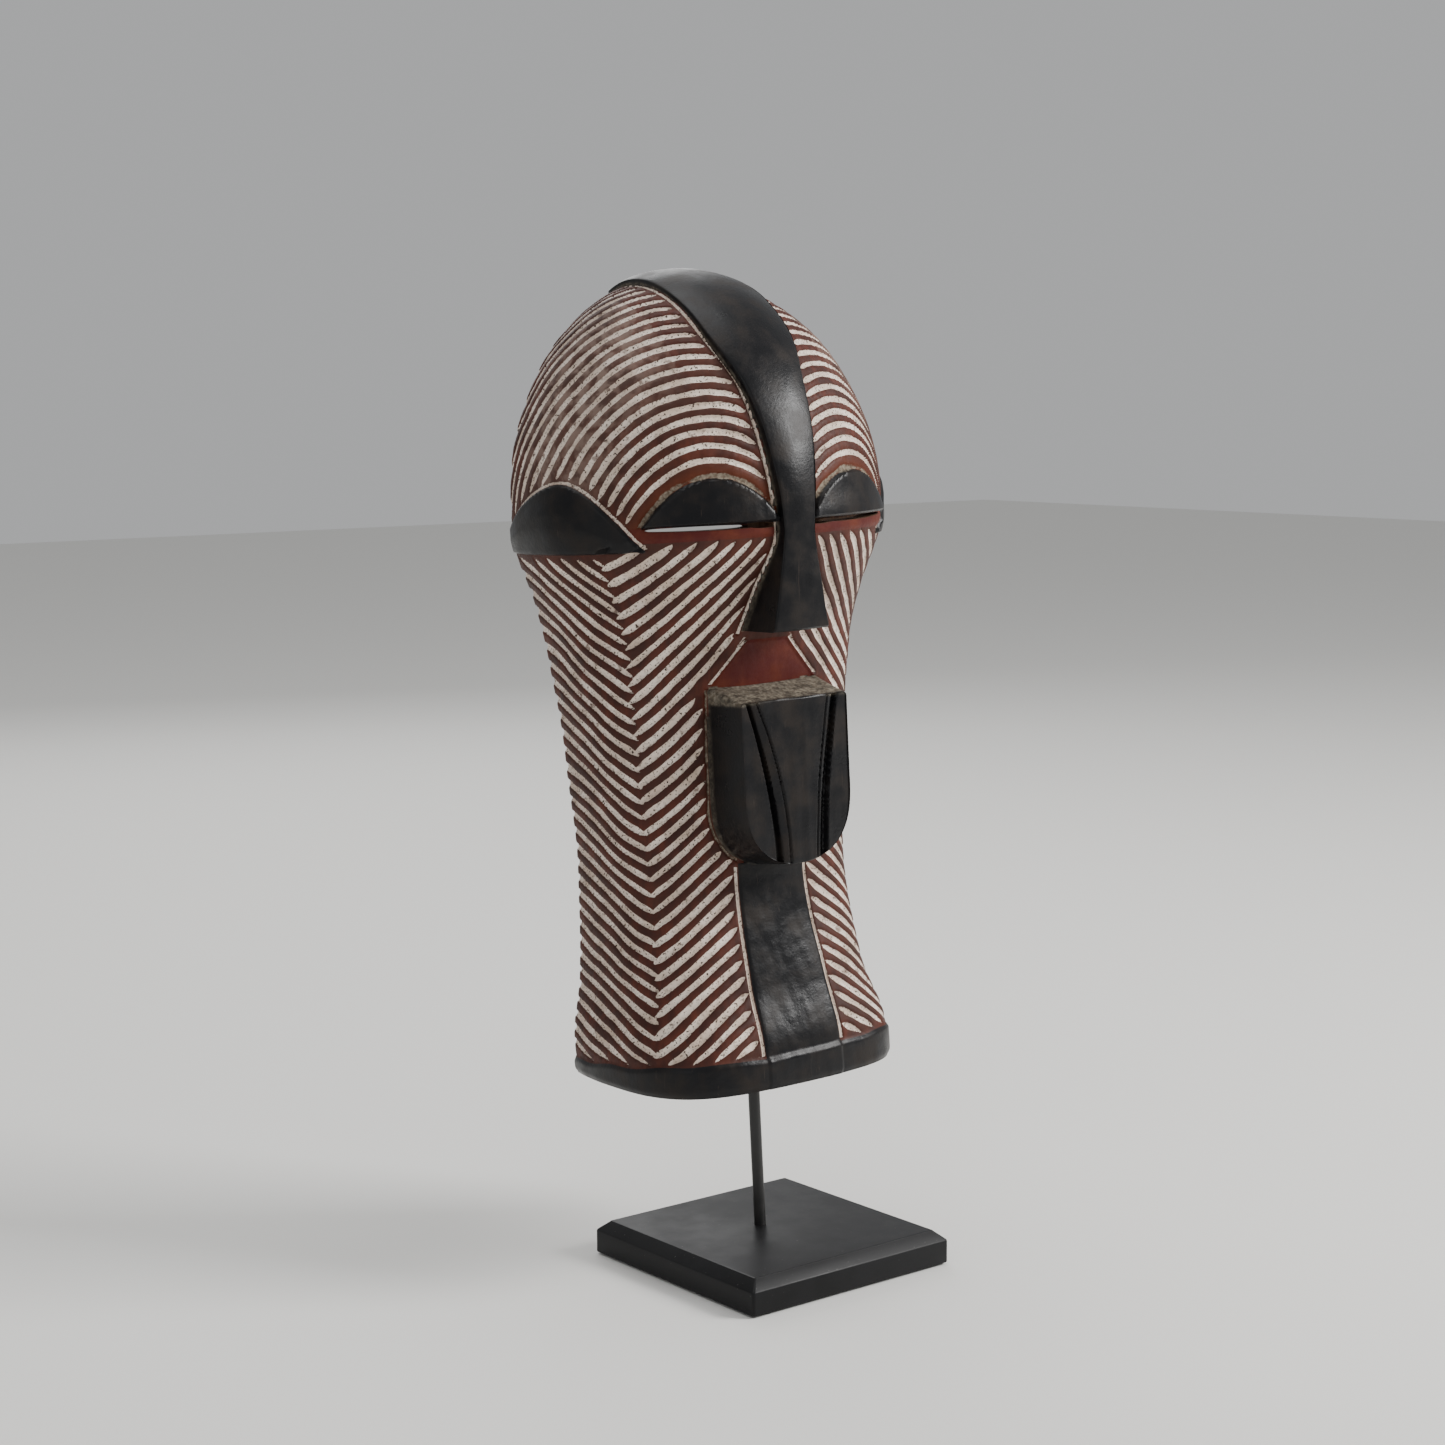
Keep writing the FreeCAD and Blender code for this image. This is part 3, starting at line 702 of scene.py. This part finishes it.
def block_solid():
    """The mouth block: a shield that stands square out of the face."""
    count = 420
    face = block_ring(FACE_TOP, FACE_HALF, FACE_LOW, count)
    root = block_ring(BLOCK_TOP, ROOT_HALF, ROOT_LOW, count)
    centre = np.array([0.0, 156.0])
    soft = 0.7
    rows = []
    root_depth = 24.0
    for depth in np.linspace(10.0, BLOCK_FACE - soft, 20):
        share = np.clip((depth - root_depth) / (BLOCK_FACE - root_depth), 0.0, 1.0)
        rows.append((root + (face - root) * share, depth))
    for angle in np.radians(np.linspace(15.0, 90.0, 6)):
        inward = soft * (1.0 - math.cos(angle))
        scale = 1.0 - inward / FACE_HALF
        rows.append((centre + (face - centre) * scale, BLOCK_FACE - soft + soft * math.sin(angle)))
    for scale in np.linspace(0.955, 0.012, 56):
        rows.append((centre + (face - centre) * scale, BLOCK_FACE))
    ring = np.array([flat for flat, _ in rows])
    depth = np.array([deep for _, deep in rows])[:, None] + 0.0 * ring[..., 0]
    x, z = ring[..., 0], ring[..., 1]
    on_face = ramp(depth, BLOCK_FACE - 0.9, BLOCK_FACE)
    facet = 0.7 * (x / FACE_HALF) ** 2 + 0.9 * np.abs(x - 5.0) / 30.0
    depth = depth - on_face * (facet + block_cuts(x, z))
    points = np.stack([x, -depth, z], axis=-1)
    points[..., 1] += 0.05 * wobble(points * np.array([1.0, 1.0, 0.25]), 5.0, 82) * on_face
    points += 0.25 * wobble(points, 30.0, 81)[..., None] * np.array([0.5, 1.0, 0.5])
    block = closed_mesh("block", points)
    top_face = ramp(z, BLOCK_TOP - 9.0, BLOCK_TOP - 7.2) * ramp(depth, BLOCK_FACE - 0.5, BLOCK_FACE - 2.5)
    near_root = 0.4 * ramp(depth, root_depth + 3.0, root_depth)
    dust = np.maximum(top_face, near_root)
    paint_mesh(block, {"dust": dust.ravel()})
    return block


# Each eye slit is cut through between the first two distances from the middle
# plane. A blind cut carries it on towards the nose.
SLIT_INNER = 21.0
SLIT_OUTER = 72.0
BLIND_INNER = 11.0
BLIND_OUTER = 27.0


def slit_tool(sign, start, end, half_height, deep):
    """A cut under the eyelid, pointed at both ends, from the front to this depth."""
    across = np.linspace(start, end, 40)
    share = (across - start) / (end - start)
    swell = half_height * np.sin(math.pi * share) ** 0.35 + 0.02
    middle = EYE_LEVEL - 0.9 + 0.6 * (share - 0.5)
    upper = np.stack([sign * across, middle + swell], axis=1)
    lower = np.stack([sign * across, middle - swell], axis=1)[::-1]
    ring = np.concatenate([upper, lower])
    rows = np.array([[(x, y, z) for x, z in ring] for y in (-95.0, deep)])
    return closed_mesh("slit", rows)


def fill_new(thing):
    """Gives the vertices that the cuts made the paint of their neighbours."""
    mesh = thing.data
    count = len(mesh.vertices)
    known = np.zeros(count, np.float32)
    mesh.attributes["known"].data.foreach_get("value", known)
    places = np.zeros(count * 3)
    mesh.vertices.foreach_get("co", places)
    places = places.reshape(-1, 3)
    fresh = np.where(known < 0.999)[0]
    tree = kdtree.KDTree(count - len(fresh))
    for number in np.where(known >= 0.999)[0]:
        tree.insert(places[number], int(number))
    tree.balance()
    source = np.array([tree.find(places[number])[1] for number in fresh], int)
    for key in PLAIN:
        value = np.zeros(count, np.float32)
        layer = mesh.attributes[key].data
        layer.foreach_get("value", value)
        value[fresh] = value[source]
        layer.foreach_set("value", value)


def make_mask():
    outer = wood_paint()
    raw = raw_wood()
    mask = shell_solid()
    parts = (crest_solid(), block_solid())
    for thing in (mask,) + parts:
        thing.data.materials.append(outer)
    for part in parts:
        combine(mask, part, "UNION")
    hollow = hollow_solid()
    hollow.data.materials.append(raw)
    combine(mask, hollow, "DIFFERENCE")
    tools = [
        box_tool("behind", (-200.0, BACK_PLANE, -60.0), (200.0, 200.0, 500.0)),
        box_tool("below", (-200.0, -200.0, -60.0), (200.0, 200.0, 0.0)),
    ]
    for sign in (-1.0, 1.0):
        tools.append(slit_tool(sign, SLIT_INNER, SLIT_OUTER, 1.15, 8.0))
        tools.append(slit_tool(sign, BLIND_INNER, BLIND_OUTER, 1.5, -48.0))
    for tool in tools:
        paint_mesh(tool, {})
        tool.data.materials.append(raw)
        combine(mask, tool, "DIFFERENCE")
    fill_new(mask)
    move_to_row(mask, RIM_GAP)
    smooth(mask, 38.0)
    mask.name = "mask_carving"
    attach(mask, "mask")
    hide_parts("mask_shell")


# -------------------------------------------------------------- material kit

class Nodes:
    """A small helper that adds and joins shader nodes."""

    def __init__(self, name):
        self.material = bpy.data.materials.new(name)
        self.material.use_nodes = True
        self.tree = self.material.node_tree
        self.shader = self.tree.nodes["Principled BSDF"]
        self.coords = self.tree.nodes.new("ShaderNodeTexCoord").outputs["Object"]

    def put(self, socket, value):
        if isinstance(value, bpy.types.NodeSocket):
            self.tree.links.new(value, socket)
        elif isinstance(value, tuple) and len(value) == 3 and socket.type == "RGBA":
            socket.default_value = (*value, 1.0)
        else:
            socket.default_value = value

    def stored(self, key):
        node = self.tree.nodes.new("ShaderNodeAttribute")
        node.attribute_name = key
        return node.outputs["Fac"]

    def math(self, operation, first, second=0.0, clamp=False):
        node = self.tree.nodes.new("ShaderNodeMath")
        node.operation = operation
        node.use_clamp = clamp
        self.put(node.inputs[0], first)
        self.put(node.inputs[1], second)
        return node.outputs[0]

    def noise(self, size_mm, detail=4.0, stretch=(1.0, 1.0, 1.0), roughness=0.55):
        """Noise of about 0 to 1 whose blobs are this many millimetres."""
        place = self.tree.nodes.new("ShaderNodeMapping")
        place.inputs["Scale"].default_value = tuple(1.0 / (size_mm * MM * s) for s in stretch)
        self.put(place.inputs["Vector"], self.coords)
        node = self.tree.nodes.new("ShaderNodeTexNoise")
        node.inputs["Scale"].default_value = 1.0
        node.inputs["Detail"].default_value = detail
        node.inputs["Roughness"].default_value = roughness
        self.put(node.inputs["Vector"], place.outputs["Vector"])
        return node.outputs["Fac"]

    def fade(self, value, start, end, low=0.0, high=1.0):
        node = self.tree.nodes.new("ShaderNodeMapRange")
        node.interpolation_type = "SMOOTHSTEP"
        self.put(node.inputs["Value"], value)
        for key, number in (("From Min", start), ("From Max", end), ("To Min", low), ("To Max", high)):
            node.inputs[key].default_value = number
        return node.outputs["Result"]

    def mix(self, share, first, second):
        node = self.tree.nodes.new("ShaderNodeMix")
        node.data_type = "RGBA"
        self.put(node.inputs[0], share)
        self.put(node.inputs[6], first)
        self.put(node.inputs[7], second)
        return node.outputs[2]

    def bump(self, height, distance_mm, strength=1.0, normal=None):
        node = self.tree.nodes.new("ShaderNodeBump")
        node.inputs["Strength"].default_value = strength
        node.inputs["Distance"].default_value = distance_mm * MM
        self.put(node.inputs["Height"], height)
        if normal is not None:
            self.put(node.inputs["Normal"], normal)
        return node.outputs["Normal"]

    def finish(self, color, roughness, normal=None):
        self.put(self.shader.inputs["Base Color"], color)
        self.put(self.shader.inputs["Roughness"], roughness)
        if normal is not None:
            self.put(self.shader.inputs["Normal"], normal)
        return self.material


def wood_paint():
    """Stained and waxed wood, kaolin rubbed into the grooves, black raised parts."""
    n = Nodes("carved_wood_paint")
    fine = n.noise(1.6, 5.0)
    patch = n.noise(14.0, 4.0)
    broad = n.noise(60.0, 3.0)
    grain = n.noise(3.0, 4.0, stretch=(1.0, 1.0, 14.0))
    speck = n.noise(1.15, 2.0)

    stain = n.mix(n.fade(patch, 0.32, 0.68), (0.040, 0.011, 0.007), (0.095, 0.022, 0.012))
    stain = n.mix(n.fade(grain, 0.35, 0.75, 0.0, 0.6), stain, (0.030, 0.010, 0.007))
    stain = n.mix(n.fade(broad, 0.42, 0.70, 0.0, 0.55), stain, (0.055, 0.020, 0.013))
    stain = n.mix(n.math("MULTIPLY", n.stored("warm"), 0.8), stain, (0.110, 0.022, 0.005))
    red = n.mix(n.fade(patch, 0.35, 0.70), (0.070, 0.007, 0.005), (0.110, 0.020, 0.008))
    base = n.mix(n.fade(n.stored("red"), -0.2, 0.3), stain, red)

    kaolin = n.mix(n.fade(patch, 0.30, 0.70), (0.60, 0.48, 0.39), (0.86, 0.76, 0.67))
    kaolin = n.mix(n.fade(fine, 0.50, 0.75, 0.0, 0.75), kaolin, (0.30, 0.23, 0.18))
    kaolin = n.mix(n.fade(speck, 0.60, 0.65), kaolin, (0.035, 0.022, 0.016))
    ragged = n.math("MULTIPLY", n.math("SUBTRACT", fine, 0.5), 0.75)
    edge = n.math("ADD", n.stored("groove"), ragged)
    chalk = n.fade(edge, 0.02, 0.30)
    missing = n.fade(n.noise(5.0, 5.0), 0.60, 0.70, 1.0, 0.35)
    chalk = n.math("MULTIPLY", chalk, missing)
    rubbed = n.math("MULTIPLY", n.stored("worn"), n.fade(n.noise(7.0, 5.0), 0.40, 0.62, 0.15, 0.75))
    base = n.mix(rubbed, base, (0.26, 0.185, 0.150))
    base = n.mix(chalk, base, kaolin)

    black = n.mix(n.fade(patch, 0.40, 0.75), (0.005, 0.005, 0.006), (0.014, 0.010, 0.008))
    scratch = n.fade(n.noise(1.1, 3.0, stretch=(1.0, 1.0, 22.0)), 0.66, 0.74, 0.0, 0.35)
    black = n.mix(scratch, black, (0.055, 0.040, 0.032))
    dark = n.fade(n.math("ADD", n.stored("dark"), n.math("MULTIPLY", ragged, 0.5)), -0.15, 0.25)
    base = n.mix(dark, base, black)
    dirty = n.mix(n.fade(fine, 0.35, 0.65), (0.13, 0.105, 0.075), (0.30, 0.26, 0.20))
    crust = n.fade(n.math("ADD", n.stored("dusty"), n.math("MULTIPLY", ragged, 1.6)), -0.1, 0.7, 0.0, 0.85)
    base = n.mix(crust, base, dirty)
    powder = n.math("MULTIPLY", n.stored("dust"), n.fade(n.noise(5.0, 5.0), 0.30, 0.66, 0.25, 0.85))
    base = n.mix(powder, base, dirty)

    n.shader.inputs["Specular IOR Level"].default_value = 0.22
    gloss = n.fade(patch, 0.3, 0.7, 0.27, 0.42)
    rough = n.tree.nodes.new("ShaderNodeMix")
    n.put(rough.inputs[0], dark)
    n.put(rough.inputs[2], n.fade(fine, 0.2, 0.8, 0.45, 0.65))
    n.put(rough.inputs[3], gloss)
    matt = n.tree.nodes.new("ShaderNodeMix")
    n.put(matt.inputs[0], n.math("MAXIMUM", n.math("MAXIMUM", chalk, crust), powder))
    n.put(matt.inputs[2], rough.outputs[0])
    matt.inputs[3].default_value = 0.88
    bumps = n.bump(fine, 0.18, 0.55)
    bumps = n.bump(grain, 0.10, 0.5, bumps)
    return n.finish(base, matt.outputs[0], bumps)


def raw_wood():
    """The unpainted hollow and back edge: dry brown wood with tool marks."""
    n = Nodes("raw_wood")
    grain = n.noise(2.2, 5.0, stretch=(1.0, 1.0, 16.0))
    patch = n.noise(22.0, 4.0)
    color = n.mix(n.fade(grain, 0.3, 0.7), (0.105, 0.055, 0.030), (0.235, 0.140, 0.085))
    color = n.mix(n.fade(patch, 0.40, 0.75, 0.0, 0.7), color, (0.060, 0.032, 0.020))
    normal = n.bump(grain, 0.35, 0.8)
    return n.finish(color, n.fade(grain, 0.2, 0.8, 0.62, 0.85), normal)


def planed_wood():
    """The batten: newer, paler wood than the carving, with its grain across."""
    n = Nodes("planed_wood")
    grain = n.noise(1.6, 5.0, stretch=(18.0, 1.0, 1.0))
    patch = n.noise(16.0, 3.0)
    color = n.mix(n.fade(grain, 0.3, 0.7), (0.20, 0.115, 0.060), (0.36, 0.235, 0.140))
    color = n.mix(n.fade(patch, 0.45, 0.75, 0.0, 0.5), color, (0.15, 0.085, 0.050))
    return n.finish(color, n.fade(grain, 0.2, 0.8, 0.55, 0.75), n.bump(grain, 0.15, 0.6))


def board_paint():
    """Satin black paint over board, with dust and tiny rubbed specks."""
    n = Nodes("board_paint")
    fine = n.noise(0.9, 4.0)
    patch = n.noise(30.0, 4.0)
    color = n.mix(n.fade(patch, 0.3, 0.7), (0.005, 0.005, 0.0055), (0.010, 0.010, 0.011))
    color = n.mix(n.fade(n.noise(1.3, 2.0), 0.735, 0.76, 0.0, 0.6), color, (0.22, 0.21, 0.20))
    n.shader.inputs["Specular IOR Level"].default_value = 0.2
    normal = n.bump(fine, 0.05, 0.5)
    return n.finish(color, n.fade(patch, 0.3, 0.7, 0.36, 0.48), normal)


def rod_paint():
    n = Nodes("rod_paint")
    patch = n.noise(8.0, 4.0)
    color = n.mix(n.fade(patch, 0.35, 0.7), (0.008, 0.008, 0.008), (0.016, 0.015, 0.014))
    return n.finish(color, n.fade(patch, 0.3, 0.7, 0.38, 0.5), n.bump(n.noise(0.8, 3.0), 0.04, 0.5))


def felt_cloth():
    n = Nodes("felt_cloth")
    fibre = n.noise(0.5, 6.0)
    color = n.mix(n.fade(fibre, 0.3, 0.7), (0.010, 0.010, 0.011), (0.040, 0.040, 0.042))
    n.shader.inputs["Sheen Weight"].default_value = 0.5
    return n.finish(color, 0.95, n.bump(fibre, 0.3, 1.0))


def zinc_plate():
    n = Nodes("zinc_plate")
    n.shader.inputs["Metallic"].default_value = 1.0
    patch = n.noise(1.5, 4.0)
    color = n.mix(patch, (0.42, 0.42, 0.40), (0.62, 0.61, 0.57))
    return n.finish(color, n.fade(patch, 0.2, 0.8, 0.25, 0.45))


def cap_rubber():
    n = Nodes("cap_rubber")
    fine = n.noise(0.7, 4.0)
    color = n.mix(fine, (0.012, 0.012, 0.012), (0.024, 0.023, 0.022))
    return n.finish(color, n.fade(fine, 0.3, 0.7, 0.6, 0.75), n.bump(fine, 0.05, 0.6))


# ------------------------------------------------------------------ the stand

def rounded_square(side, corner, z, count=6):
    """A square ring with rounded corners, as (x, y, z) points."""
    half = side / 2.0 - corner
    ring = []
    for quarter in range(4):
        middle = quarter * 90.0 + 45.0
        cx = half * math.copysign(1.0, math.cos(math.radians(middle)))
        cy = half * math.copysign(1.0, math.sin(math.radians(middle)))
        for step in range(count + 1):
            angle = math.radians(quarter * 90.0 + 90.0 * step / count)
            ring.append((cx + corner * math.cos(angle), cy + corner * math.sin(angle), z))
    return ring


def make_board():
    """The bevelled base board, its edges just eased."""
    low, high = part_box("base_plate")
    side = (high.x - low.x) / MM
    bottom = low.z / MM
    top = high.z / MM
    rise, run, ease = 5.0, 6.0, 0.7
    bevel = [
        (0.6, 0.0, 0.0), (0.25, 0.0, 0.12), (0.0, 0.0, 0.6),
        (0.0, top - bottom - rise - ease, 0.0), (0.12, top - bottom - rise - 0.15, 0.0),
        (0.42, top - bottom - rise + 0.3, 0.0), (run - 0.75, top - bottom - 0.55, 0.0),
        (run - 0.35, top - bottom - 0.14, 0.0), (run + 0.3, top - bottom, 0.0),
    ]
    rings = []
    for inset, height, lift in bevel:
        corner = max(0.5, 1.6 - 0.15 * inset)
        rings.append(rounded_square(side - 2.0 * inset, corner, bottom + height + lift))
    board = closed_mesh("stand_board", np.array(rings))
    flat = np.zeros(len(board.data.vertices) * 3)
    board.data.vertices.foreach_get("co", flat)
    board.data.vertices.foreach_set("co", flat * MM)
    board.data.materials.append(board_paint())
    bores = ((3.08, -40.0, 30.0), (4.0, -40.0, -3.7), (9.0, -40.0, -13.0))
    for radius, start, end in bores:
        tool = round_tool("bore", radius, start, end)
        move_to_row(tool, 0.0)
        tool.data.materials.append(board.data.materials[0])
        combine(board, tool, "DIFFERENCE")
    smooth(board, 30.0)
    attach(board, "stand_base")
    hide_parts("base_plate")


def make_felt():
    """A thin felt sheet glued under the board, its cut edge a little soft."""
    low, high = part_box("felt_pad")
    side = (high.x - low.x) / MM
    thick = (high.z - low.z) / MM
    rings = [
        rounded_square(side - 2.0 * inset, 1.2, z)
        for inset, z in ((0.25, 0.0), (0.0, 0.2), (0.0, thick - 0.2), (0.2, thick))
    ]
    felt = closed_mesh("felt_sheet", np.array(rings) * MM)
    felt.data.materials.append(felt_cloth())
    smooth(felt, 60.0)
    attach(felt, "stand_base")
    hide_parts("felt_pad")


def dress_cad_nodes():
    """The kept CAD pieces get their finishes on their own material slots."""
    rod = rod_paint()
    rubber = cap_rubber()
    finishes = {
        "tee_nut": zinc_plate(), "support_rod": rod, "cross_bar": rod,
        "bar_cap_left": rubber, "bar_cap_right": rubber, "rod_cap": rubber,
        "inner_batten": planed_wood(),
    }
    for name, material in finishes.items():
        node = frame["nodes"][name]
        for place in node.material_slots:
            place.material = material


# -------------------------------------------------------------- studio, camera

def make_floor():
    mesh = bpy.data.meshes.new("floor")
    mesh.from_pydata([(-6, -6, 0), (6, -6, 0), (6, 6, 0), (-6, 6, 0)], [], [(0, 1, 2, 3)])
    floor = bpy.data.objects.new("floor", mesh)
    bpy.context.scene.collection.objects.link(floor)
    n = Nodes("pale_floor")
    floor.data.materials.append(n.finish((0.80, 0.79, 0.76), 0.8))


def area_light(name, place, aim, size, power, color=(1.0, 1.0, 1.0)):
    lamp = bpy.data.lights.new(name, "AREA")
    lamp.size = size
    lamp.energy = power
    lamp.color = color
    thing = bpy.data.objects.new(name, lamp)
    thing.location = place
    way = Vector(aim) - Vector(place)
    thing.rotation_euler = way.to_track_quat("-Z", "Y").to_euler()
    bpy.context.scene.collection.objects.link(thing)


def make_lights():
    world = bpy.data.worlds.new("studio")
    world.use_nodes = True
    world.node_tree.nodes["Background"].inputs["Color"].default_value = (0.86, 0.87, 0.88, 1.0)
    world.node_tree.nodes["Background"].inputs["Strength"].default_value = 0.52
    bpy.context.scene.world = world
    heart = (0.0, 0.0, 0.3)
    area_light("key", (1.5, -1.5, 1.5), heart, 0.9, 72.0, (1.0, 0.99, 0.98))
    area_light("fill", (-1.9, -0.9, 1.1), heart, 1.6, 5.0, (0.96, 0.98, 1.0))
    area_light("top", (0.0, 0.2, 2.2), heart, 1.4, 16.0)
    area_light("behind", (0.7, 1.8, 1.3), heart, 1.4, 12.0)


# The camera is fitted to the corners of the base board.
CAMERA_PLACE = (-0.8663, -1.0433, 0.4561)
CAMERA_LENS = 67.27
CAMERA_YAW = -38.70
CAMERA_PITCH = 7.36
CAMERA_ROLL = -0.27


def make_camera():
    """The camera stands to the mask's left and looks slightly down."""
    camera = bpy.data.cameras.new("camera")
    camera.sensor_width = 36.0
    camera.lens = CAMERA_LENS
    thing = bpy.data.objects.new("camera", camera)
    yaw, pitch, roll = (math.radians(angle) for angle in (CAMERA_YAW, CAMERA_PITCH, CAMERA_ROLL))
    ahead = Vector((-math.sin(yaw) * math.cos(pitch), math.cos(yaw) * math.cos(pitch), -math.sin(pitch)))
    level = Vector((math.cos(yaw), math.sin(yaw), 0.0))
    over = level.cross(ahead)
    right = math.cos(roll) * level + math.sin(roll) * over
    up = -math.sin(roll) * level + math.cos(roll) * over
    turn = Matrix((right, up, -ahead)).transposed().to_4x4()
    thing.matrix_world = Matrix.Translation(CAMERA_PLACE) @ turn
    bpy.context.scene.collection.objects.link(thing)
    bpy.context.scene.camera = thing


make_camera()
make_lights()
make_floor()
make_board()
make_felt()
dress_cad_nodes()
make_mask()
